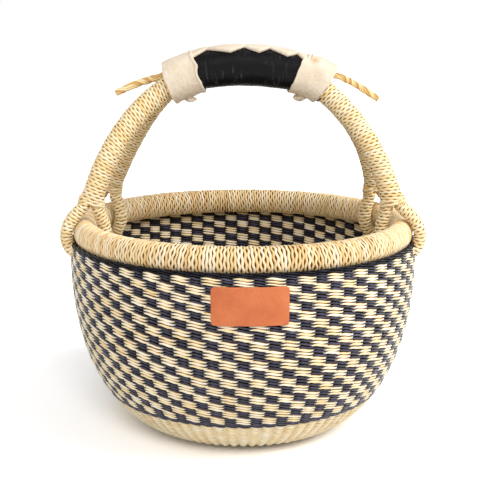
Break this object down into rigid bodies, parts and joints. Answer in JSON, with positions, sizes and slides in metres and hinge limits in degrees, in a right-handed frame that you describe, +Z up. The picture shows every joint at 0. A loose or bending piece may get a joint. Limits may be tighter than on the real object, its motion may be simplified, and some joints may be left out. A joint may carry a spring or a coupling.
{
  "type": "round market basket",
  "caption": "Round woven grass market basket with a dark and light check pattern, a wrapped rim and an arched double handle with a laced leather grip.",
  "frame": {"origin": "middle of the underside of the flat foot", "axes": "+Z up through the middle of the bowl, +X to the right of the front, toward one pair of handle feet, and -Y out of the front, where the label is"},
  "size_m": [0.273, 0.2678, 0.2907],
  "materials": {
    "plain_grass": "matte dried grass, natural straw colour",
    "dyed_grass": "dried grass dyed blue-black, faint sheen",
    "check_weave": "checks of natural and blue-black grass",
    "wrapped_grass": "natural grass strand wound in touching turns",
    "twisted_grass": "natural grass twisted in two plies",
    "black_leather": "black leather with faint grey wear",
    "pale_leather": "undyed pale leather, matte",
    "tan_leather": "smooth orange-tan leather, satin"
  },
  "bodies": {
    "root": {"base_start": "plain_grass", "base_weave": "plain_grass", "lower_border": "dyed_grass", "check_wall": "check_weave", "upper_border": "dyed_grass", "rim": "wrapped_grass", "leg_front_left": "wrapped_grass", "foot_loop_front_left": "wrapped_grass", "leg_front_right": "wrapped_grass", "foot_loop_front_right": "wrapped_grass", "leg_back_left": "wrapped_grass", "foot_loop_back_left": "wrapped_grass", "leg_back_right": "wrapped_grass", "foot_loop_back_right": "wrapped_grass", "grip_core_front": "wrapped_grass", "grip_core_back": "wrapped_grass", "grip_sleeve": "black_leather", "cuff_left": "pale_leather", "cuff_right": "pale_leather", "grip_lace": "pale_leather", "tail_cord_left": "twisted_grass", "tail_cord_right": "twisted_grass", "label_patch": "tan_leather"}
  },
  "joints": []
}
